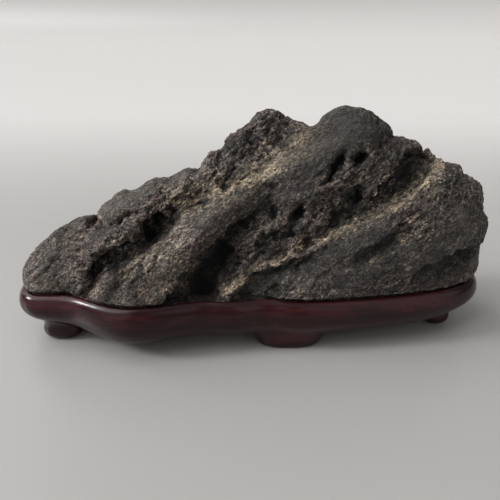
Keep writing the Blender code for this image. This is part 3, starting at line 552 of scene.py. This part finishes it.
def weatheredStone():
    # Weathered dark limestone: matt, gritty and pitted, sandy dust in its hollows, a dark satin skin
    # on slabs worn smooth, coarse speckle, and painted shade in its pinholes, hollows and gullies.
    material, tree, shader = newMaterial("weatheredStone")
    place = addNode(tree, "TexCoord").outputs["Object"]
    # turned along the beds and drawn out that way, the threads much more so
    beds = addNode(tree, "Mapping", {"vector_type": "TEXTURE", "Scale": (1.7, 1, 1),
                                     "Rotation": (0, -math.radians(rock["bedSlope"]), 0)},
                   {"Vector": place})
    threads = addNode(tree, "Mapping", {"Scale": (0.3, 1, 1)}, {"Vector": beds})
    worn, hollow, deep, sand, paler = (
        addNode(tree, "Attribute", {"attribute_name": name}).outputs["Fac"]
        for name in ("worn", "hollow", "deep", "sand", "paler"))
    clouds, purple, green, broken, streaks, speckle = (
        addNode(tree, "TexNoise", {"Scale": 1 / (size * mm), "Detail": octaves,
                                   "Roughness": fineness}, {"Vector": space})
        for size, octaves, fineness, space in (
            (14, 5, 0.6, beds),        # clouds of paler and darker stone
            (9, 4, 0.6, beds),         # purplish beds
            (12, 4, 0.6, place),       # greenish stains
            (3.3, 6, 0.78, beds),      # broken stone
            (1.6, 3, 0.6, threads),    # threads along the beds
            (0.8, 3, 0.75, place)))    # speckle, coarser than the real grit so that it shows
    grains, pinholes = (addNode(tree, "TexVoronoi", {"Scale": 1 / (size * mm)}, {"Vector": beds})
                        for size in (0.8, 2.3))
    # three random numbers for each grain, and for each cell that may hold a pinhole
    pick, chance = (addNode(tree, "SeparateColor", {}, {0: cells.outputs["Color"]})
                    for cells in (grains, pinholes))

    # body of the stone, with purplish and greenish beds and a dark worn skin
    stone = addNode(tree, "ValToRGB", {"stops": rock["bodyTones"]}, {"Fac": clouds})
    for mask, low, high, amount, tint in ((purple, 0.46, 0.6, 0.75, rock["purple"]),
                                          (green, 0.54, 0.66, 0.6, rock["green"]),
                                          (worn, 0.3, 1.0, 0.75, rock["wornSkin"])):
        share = addNode(tree, "MapRange", {"From Min": low, "From Max": high, "To Max": amount},
                        {"Value": mask})
        stone = addNode(tree, "Mix", {"data_type": "RGBA", 7: colour(tint)}, {0: share, 6: stone})

    # grains, each of its own tint and tone, under the speckle
    tint = addNode(tree, "ValToRGB", {"stops": rock["grainTints"]}, {"Fac": pick.outputs[1]})
    share = addNode(tree, "MapRange", {"To Min": 0.5, "To Max": 0.3}, {"Value": worn})
    stone = addNode(tree, "Mix", {"data_type": "RGBA"}, {0: share, 6: stone, 7: tint})
    bright = addNode(tree, "MapRange", {"To Min": 0.4, "To Max": 1.6}, {"Value": pick})
    fleck = addNode(tree, "MapRange", {"From Min": 0.38, "From Max": 0.62, "To Min": 0, "To Max": 2.2},
                    {"Value": speckle})
    grit = addNode(tree, "Math", {"operation": "MULTIPLY"}, {0: bright, 1: fleck})
    share = addNode(tree, "MapRange", {"From Min": 0.2, "To Min": 1, "To Max": 0.95}, {"Value": worn})
    stone = addNode(tree, "Mix", {"data_type": "RGBA", "blend_type": "MULTIPLY"},
                    {0: share, 6: stone, 7: grit})

    # dust on a share of the grains, most of them along the sandy seams, and in thin threads
    thread = addNode(tree, "MapRange", {"From Min": 0.58, "From Max": 0.68, "To Max": 0.3},
                     {"Value": streaks})
    dust = addNode(tree, "Math", {"operation": "MULTIPLY_ADD", 1: 1.15}, {0: sand, 2: thread})
    dust = addNode(tree, "Math", {"operation": "SUBTRACT"}, {0: dust, 1: pick.outputs[2]})
    dust = addNode(tree, "MapRange", {"From Min": -0.3, "From Max": 0.3, "To Max": 0.8}, {"Value": dust})
    ochre = addNode(tree, "Mix", {"data_type": "RGBA", "blend_type": "MULTIPLY", 0: 0.55,
                                  6: colour(rock["dust"])}, {7: grit})
    stone = addNode(tree, "Mix", {"data_type": "RGBA"}, {0: dust, 6: stone, 7: ochre})

    # pinholes of 1 to 2 mm in a share of the cells, fewer on the worn skin, painted dark with the shade
    # inside them
    radius = addNode(tree, "Math", {"operation": "MULTIPLY_ADD", 1: 0.2},
                     {0: chance.outputs[1], 2: pinholes.outputs["Distance"]})
    inside = addNode(tree, "MapRange", {"From Min": 0.42, "From Max": 0.22}, {"Value": radius})
    rare = addNode(tree, "Math", {"operation": "MULTIPLY_ADD", 1: 0.5}, {0: worn, 2: chance})
    rare = addNode(tree, "MapRange", {"From Min": 0.66, "From Max": 0.56, "To Max": 0.85},
                   {"Value": rare})
    hole = addNode(tree, "Math", {"operation": "MULTIPLY"}, {0: inside, 1: rare})
    stone = addNode(tree, "Mix", {"data_type": "RGBA", 7: colour(rock["pinholes"])}, {0: hole, 6: stone})

    # darker in broken stone and between threads, painted shade in the hollows, dark dirt and painted
    # shade deep in the gullies, paler on convex edges
    crumbs = addNode(tree, "MapRange", {"To Min": 1, "To Max": 0.5}, {"Value": worn})
    for value, low, high, start, end, share in ((broken, 0.36, 0.64, 0.2, 1.8, crumbs),
                                                (hollow, 0.5, 0.95, 1, 0.3, None),
                                                (hollow, 0.5, 0.2, 1, 1.5, None),
                                                (deep, 0.5, 0.9, 1, 0.12, None),
                                                (streaks, 0.36, 0.46, 0.4, 1, crumbs)):
        shade = addNode(tree, "MapRange", {"From Min": low, "From Max": high, "To Min": start,
                                           "To Max": end}, {"Value": value})
        stone = addNode(tree, "Mix", {"data_type": "RGBA", "blend_type": "MULTIPLY", 0: 1},
                        {6: stone, 7: shade} | ({0: share} if share else {}))
    # zones of stone and of painted shade: 0 and 1 are 3.2 times darker and paler than 0.5, and -1.38
    # sets the whole tone
    shade = addNode(tree, "Math", {"operation": "MULTIPLY_ADD", 1: 2, 2: -1.38}, {0: paler})
    shade = addNode(tree, "Math", {"operation": "POWER", 0: 3.2}, {1: shade})
    stone = addNode(tree, "Mix", {"data_type": "RGBA", "blend_type": "MULTIPLY", 0: 1},
                    {6: stone, 7: shade})
    tree.links.new(stone.outputs[2], shader.inputs["Base Color"])

    rough = addNode(tree, "MapRange", {"To Min": 0.85, "To Max": 0.55}, {"Value": worn})
    tree.links.new(rough.outputs[0], shader.inputs["Roughness"])
    shader.inputs["IOR"].default_value = 1.5

    # heights in mm: grains and threads stand proud, cavities and pinholes sink
    relief = addNode(tree, "Math", {"operation": "MULTIPLY", 1: -0.4}, {0: grains})
    relief = addNode(tree, "Math", {"operation": "MULTIPLY_ADD", 1: 1.2}, {0: speckle, 2: relief})
    height = addNode(tree, "MapRange", {"From Min": 0.2, "To Min": 2.2, "To Max": 1.2}, {"Value": worn})
    relief = addNode(tree, "Math", {"operation": "MULTIPLY_ADD"}, {0: broken, 1: height, 2: relief})
    relief = addNode(tree, "Math", {"operation": "MULTIPLY_ADD", 1: -0.8}, {0: hole, 2: relief})
    relief = addNode(tree, "Math", {"operation": "MULTIPLY_ADD", 1: 1.2}, {0: streaks, 2: relief})
    bump = addNode(tree, "Bump", {"Strength": 1, "Distance": mm}, {"Height": relief})
    tree.links.new(bump.outputs[0], shader.inputs["Normal"])
    return material


def makeRock():
    piece = copyOfNode("rock", "rockStone")
    addModifier(piece, "REMESH", mode="VOXEL", voxel_size=rock["coarseVoxel"] * mm)
    addModifier(piece, "SMOOTH", factor=0.5, iterations=rock["facetSmoothing"])
    carve(piece)
    addModifier(piece, "REMESH", mode="VOXEL", voxel_size=rock["fineVoxel"] * mm)
    print("rock carved:", len(piece.data.polygons), "faces")
    weather(piece)
    ratio = rock["triangles"] / (2 * len(piece.data.polygons))
    addModifier(piece, "DECIMATE", ratio=min(ratio, 1))
    measureRock(piece)
    activate(piece)
    bpy.ops.object.shade_smooth()
    piece.data.materials.clear()
    piece.data.materials.append(weatheredStone())
    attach(piece, "root")
    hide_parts("rock")
    print("rock:", len(piece.data.polygons), "faces")


stand = {
    "seatFloor": 16.0,        # mm, floor of the sunk seat
    "voxel": 0.76,            # mm, size of the fine mesh's faces
    "rubbing": 7,             # rounds that rub the carving smooth
    "edgePoints": 420,        # points round the edge of the seat
    "edgeRounds": 30,         # rounds that even it out to long curves
    "shift": (1.9, 0.63),     # mm, from the outlines' own centre to the part's origin
    # Inner edge of the rim, from above
    "seatEdge": [
        (-111, -14), (-105.5, -22.8), (-89, -23.2), (-76, -30), (-60, -36.4), (-46, -34.3),
        (-33, -31.4), (-25, -29.4), (-16, -30.6), (-6, -29.2), (3, -27.0), (12, -29.1), (25, -28.8),
        (48, -25.7), (72, -21.4), (90, -15.8), (102, -8.8), (107, 0), (103, 15), (88, 27), (60, 35),
        (36, 33), (14, 30), (-14, 33), (-38, 32), (-62, 26), (-84, 23.5), (-102, 12.5),
        (-110.5, -2),
    ],
    # Section of the tray: how far it stands out from the inner edge, and its share of the height
    "traySection": [
        (0.0, 0.96), (0.4, 0.99), (1.4, 0.973), (2.4, 0.94), (3.3, 0.895), (4.2, 0.81), (5.0, 0.66),
        (5.3, 0.49), (4.8, 0.34), (3.3, 0.18), (0.6, 0.05), (-3.6, 0.0),
    ],
    # Heights along the length, and how full the hull's sides are there
    "rimTop": [
        (-112, 25.6), (-96, 26.0), (-60, 26.8), (-20, 26.7), (10, 26.1), (60, 25.5), (112, 25.3),
    ],
    "hullBottom": [
        (-112, 12), (-98, 10), (-84, 8), (-60, 6.4), (-20, 7.0), (60, 7.6), (80, 8.4), (92, 10),
        (102, 11.5), (112, 12.5),
    ],
    "hullFullness": [
        (-112, 1.0), (60, 1.0), (92, 0.9), (112, 0.7),
    ],
    "keel": [(-92, -6), (88, 5)],   # the line that the tray's sections face
    # Sections of the feet: how far they stand out from their outline, and their heights
    "nub": [
        (-3.2, 0.0), (-1.4, 0.5), (-0.1, 1.8), (0.5, 3.6), (0.2, 5.4), (-0.5, 7.6), (0.4, 10.5),
        (1.4, 13.0),
    ],
    "flared": [
        (-1.1, 0.0), (-0.4, 0.35), (0.0, 1.0), (0.7, 2.8), (1.8, 5.0), (3.2, 7.4), (4.4, 11.0),
    ],
    # Each foot: section, centre (x, y), half length, half width, turn in degrees
    "feet": {
        "left": ("nub", (-96.0, -15.0), 9.4, 9.0, 0),
        "front": ("flared", (14.0, -22.0), 15.5, 8.8, 1),
        "right": ("nub", (89.5, -3.5), 7.0, 8.0, 20),
        "backRight": ("flared", (50.0, 25.0), 13.0, 8.0, 0),
        "backLeft": ("nub", (-66.0, 15.0), 10.0, 8.0, 10),
    },
    "woodTones": [(0.5, "#1c0a0d"), (0.95, "#401a1d"), (0.75, "#2a1013")],
    "polish": 0.2,            # roughness of the waxed wood
    "seatPolish": 0.95,       # roughness of the seat, which is left unpolished
}


def smoothLine(points, steps, closed=False):   # a curve through the points, with steps to a span
    p = np.array(points, float)
    count = len(p)
    rows = []
    for i in range(count if closed else count - 1):
        around = [i - 1, i, i + 1, i + 2]
        p0, p1, p2, p3 = (p[k % count] if closed else p[min(max(k, 0), count - 1)] for k in around)
        for t in np.linspace(0, 1, steps, endpoint=False):
            rows.append(0.5 * (2 * p1 + (p2 - p0) * t + (2 * p0 - 5 * p1 + 4 * p2 - p3) * t ** 2
                               + (3 * p1 - p0 - 3 * p2 + p3) * t ** 3))
    return np.array(rows if closed else rows + [p[-1]])


def valueAt(points, x):
    curve = smoothLine(points, 12)
    return np.interp(x, curve[:, 0], curve[:, 1])


def evenly(curve, count):   # the same closed curve, its points evenly spaced
    ring = np.vstack([curve, curve[:1]])
    run = np.concatenate([[0], np.cumsum(np.hypot(*np.diff(ring, axis=0).T))])
    at = np.linspace(0, run[-1], count, endpoint=False)
    return np.stack([np.interp(at, run, ring[:, k]) for k in (0, 1)], 1)


def skinned(name, rings):   # one closed solid through the rings
    count = len(rings[0])
    points = (np.concatenate(rings) + (*stand["shift"], 0)) * mm
    faces = [list(range(count))[::-1], list(range(len(points) - count, len(points)))]
    for row in range(len(rings) - 1):
        for j in range(count):
            a, b = row * count + j, row * count + (j + 1) % count
            faces.append([a, b, b + count, a + count])
    mesh = bpy.data.meshes.new(name)
    mesh.from_pydata([tuple(p) for p in points], [], faces)
    piece = bpy.data.objects.new(name, mesh)
    bpy.context.scene.collection.objects.link(piece)
    activate(piece)
    bpy.ops.object.mode_set(mode="EDIT")
    bpy.ops.mesh.select_all(action="SELECT")
    bpy.ops.mesh.normals_make_consistent(inside=False)
    bpy.ops.object.mode_set(mode="OBJECT")
    return piece


def seatOutline():
    edge = evenly(smoothLine(stand["seatEdge"], 24, closed=True), stand["edgePoints"])
    for _ in range(stand["edgeRounds"]):
        edge = 0.5 * edge + 0.25 * (np.roll(edge, 1, 0) + np.roll(edge, -1, 0))
    return edge


def makeTray():
    edge = seatOutline()
    x = edge[:, 0]
    keel = stand["keel"]
    inner = np.stack([np.clip(x, keel[0][0], keel[1][0]), np.interp(x, *zip(*keel))], 1)
    toward = inner - edge
    toward /= np.linalg.norm(toward, axis=1, keepdims=True)
    bottom = valueAt(stand["hullBottom"], x)
    fullness = valueAt(stand["hullFullness"], x)
    top = valueAt(stand["rimTop"], x)
    rings = [np.column_stack([edge, np.full(len(edge), stand["seatFloor"])])]
    for out, share in smoothLine(stand["traySection"], 5):
        outward = out * np.where(out > 0, fullness, 1 / fullness)
        height = bottom + (top - bottom) * share
        rings.append(np.column_stack([edge - toward * outward[:, None], height]))
    return skinned("standWood", rings)


def makeFoot(name, section, centre, halfLength, halfWidth, degrees):
    turn = math.radians(degrees)
    angle = np.linspace(0, 2 * math.pi, 96, endpoint=False)
    c, s = np.cos(angle), np.sin(angle)
    fullness = 0.8   # 1 is an ellipse, and less is fuller at its corners
    rings = []
    for out, height in smoothLine(stand[section], 5):
        u = (halfLength + out) * np.sign(c) * np.abs(c) ** fullness
        across = out * (0.3 if out > 0 else 1)   # it flares less across than along
        v = (halfWidth + across) * np.sign(s) * np.abs(s) ** fullness
        rings.append(np.column_stack([centre[0] + u * math.cos(turn) - v * math.sin(turn),
                                      centre[1] + u * math.sin(turn) + v * math.cos(turn),
                                      np.full(len(u), height)]))
    return skinned("foot " + name, rings)


def fillCorners(piece):   # between the feet and the hull, so that they flow into each other
    points = readPoints(piece.data)
    for _ in range(4):
        normals = readNormals(piece.data)
        smooth = smoothed(piece.data, points, 14)
        filling = rise(((smooth - points) * normals).sum(1), 0.02, 0.12) * rise(points[:, 2], 17, 13)
        filling = spread(piece.data, filling * rise(points[:, 2], 1.5, 4), 4)
        points += (smooth - points) * filling[:, None]
        writePoints(piece.data, points)
    return points


def polishedRosewood():
    # Rosewood rubbed with wax: nearly black red-brown, fine lengthwise grain under a soft gloss
    material, tree, shader = newMaterial("polishedRosewood")
    place = addNode(tree, "TexCoord").outputs["Object"]
    grain = addNode(tree, "Mapping", {"Scale": (0.06, 1, 1)}, {"Vector": place}).outputs[0]
    pores = addNode(tree, "TexNoise", {"Scale": 1 / (1.25 * mm), "Detail": 4, "Roughness": 0.6},
                    {"Vector": grain})   # coarser than the wood's real pores, so that they show
    rings = addNode(tree, "TexNoise", {"Scale": 1 / (6.7 * mm), "Detail": 3, "Distortion": 0.4},
                    {"Vector": grain})
    both = addNode(tree, "Math", {"operation": "MULTIPLY_ADD", 1: 0.5},
                   {0: pores.outputs["Fac"], 2: rings.outputs["Fac"]})
    tones = addNode(tree, "ValToRGB", {"stops": stand["woodTones"]}, {"Fac": both.outputs[0]})
    tree.links.new(tones.outputs[0], shader.inputs["Base Color"])
    seat = addNode(tree, "Attribute", {"attribute_name": "seat"})
    gloss = addNode(tree, "MapRange", {"To Min": stand["polish"], "To Max": stand["seatPolish"]},
                    {"Value": seat.outputs["Fac"]})
    tree.links.new(gloss.outputs[0], shader.inputs["Roughness"])
    shader.inputs["IOR"].default_value = 1.36   # under wax's 1.44, for its thin, rubbed skin
    bump = addNode(tree, "Bump", {"Strength": 0.4, "Distance": 0.08 * mm},
                   {"Height": pores.outputs["Fac"]})
    tree.links.new(bump.outputs[0], shader.inputs["Normal"])
    return material


def makeStand():
    piece = makeTray()
    feet = [makeFoot(name, *foot) for name, foot in stand["feet"].items()]
    activate(piece)
    for foot in feet:
        foot.select_set(True)
    bpy.ops.object.join()
    addModifier(piece, "REMESH", mode="VOXEL", voxel_size=stand["voxel"] * mm)
    addModifier(piece, "SMOOTH", factor=0.5, iterations=stand["rubbing"])
    points = fillCorners(piece)
    activate(piece)
    bpy.ops.object.shade_smooth()
    normals = readNormals(piece.data)
    # the wood inside the rim, which faces up and lies lower than it
    seat = rise(normals[:, 2], 0.2, 0.7) * rise(points[:, 2], 23, stand["seatFloor"] + 3)
    keepAttribute(piece.data, "seat", spread(piece.data, seat, 6) * (points[:, 2] > 14))
    piece.data.materials.clear()
    piece.data.materials.append(polishedRosewood())
    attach(piece, "root")
    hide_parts("stand")
    print("stand:", len(piece.data.polygons), "faces")


studio = {
    "floorSize": 9.0,         # m
    "backdrop": 2.6,          # m behind the rock, where the floor sweeps up
    "backdropHeight": 1.8,    # m
    "sweepRadius": 0.3,       # m
    "floorNear": "#a3a19f",
    "floorFar": "#d4d2d0",
    # Each light: where it comes from (degrees round from +X, degrees up), width in degrees, strength
    "lights": {
        "window": (184, 52, 60, 1.95),
        "windowPane": (187, 30, 12, 1.7),
        "backWindow": (135, 24, 45, 0.7),
        "roomLeft": (225, 28, 60, 0.42),
        "roomRight": (315, 28, 60, 0.4),
        "ceiling": (95, 78, 90, 0.5),
    },
    "sky": "#dcdad8",
    "skyLight": 0.22,         # strength of the sky's light on the pieces
    "skyShown": 0.85,         # strength of the sky as the camera sees it
    "cameraPlace": (-0.0026, -0.22337, 0.1435),   # m
    "lens": 36.07,            # mm, on a sensor of 36 mm
}


def paleFloor():
    # Painted board with a satin skin, paler towards the back: it mirrors the backdrop faintly
    material, tree, shader = newMaterial("paleFloor")
    place = addNode(tree, "TexCoord").outputs["Object"]
    depth = addNode(tree, "SeparateXYZ", {}, {0: place})
    back = addNode(tree, "MapRange", {"From Min": 0.05, "From Max": 0.6,
                                      "interpolation_type": "SMOOTHSTEP"}, {"Value": depth.outputs["Y"]})
    board = addNode(tree, "Mix", {"data_type": "RGBA", 6: colour(studio["floorNear"]),
                                  7: colour(studio["floorFar"])}, {0: back})
    tree.links.new(board.outputs[2], shader.inputs["Base Color"])
    shader.inputs["Roughness"].default_value = 0.35
    shader.inputs["IOR"].default_value = 1.6
    return material


def selectEdges(piece, wanted):   # those whose ends both pass the test, in edit mode
    bpy.ops.object.mode_set(mode="EDIT")
    bpy.ops.mesh.select_mode(type="EDGE")
    bpy.ops.mesh.select_all(action="DESELECT")
    bpy.ops.object.mode_set(mode="OBJECT")
    for edge in piece.data.edges:
        edge.select = all(wanted(piece.data.vertices[v].co) for v in edge.vertices)
    bpy.ops.object.mode_set(mode="EDIT")


def makeFloor():   # a board that sweeps up behind the piece
    deselectAll()
    bpy.ops.mesh.primitive_plane_add(size=studio["floorSize"])
    floor = bpy.context.object
    floor.name = "floor"
    for vertex in floor.data.vertices:
        if vertex.co.y > 0:
            vertex.co.y = studio["backdrop"] + studio["sweepRadius"]
    selectEdges(floor, lambda co: co.y > 0)
    bpy.ops.mesh.extrude_region_move(TRANSFORM_OT_translate={"value": (0, 0, studio["backdropHeight"])})
    selectEdges(floor, lambda co: co.y > 0 and co.z < 0.1)
    bpy.ops.mesh.bevel(offset=studio["sweepRadius"], segments=16)
    bpy.ops.object.mode_set(mode="OBJECT")
    bpy.ops.object.shade_smooth()
    floor.data.materials.append(paleFloor())


def makeLights():
    for name, (around, up, width, strength) in studio["lights"].items():
        deselectAll()
        bpy.ops.object.light_add(type="SUN", location=(0, 0, 1),
                                 rotation=(0, math.radians(90 - up), math.radians(around)))
        light = bpy.context.object
        light.name = name
        light.data.angle = math.radians(width)
        light.data.energy = strength
        light.visible_camera = False

    world = bpy.data.worlds.new("studio")
    bpy.context.scene.world = world
    world.use_nodes = True
    tree = world.node_tree
    background = tree.nodes["Background"]
    background.inputs["Color"].default_value = colour(studio["sky"])
    ray = addNode(tree, "LightPath")
    strength = addNode(tree, "MapRange", {"To Min": studio["skyLight"], "To Max": studio["skyShown"]},
                       {"Value": ray.outputs["Is Camera Ray"]})
    tree.links.new(strength.outputs[0], background.inputs["Strength"])
    bpy.context.scene.view_settings.view_transform = "Standard"


def placeCamera():
    deselectAll()
    bpy.ops.object.camera_add(location=studio["cameraPlace"],
                              rotation=(math.radians(90) - viewTilt, 0, 0))
    camera = bpy.context.object
    camera.data.sensor_width = 36
    camera.data.lens = studio["lens"]
    camera.data.clip_start = 0.01
    bpy.context.scene.camera = camera


makeRock()
makeStand()
makeFloor()
makeLights()
placeCamera()
print("stage: floor,", len(studio["lights"]), "lights and the camera")
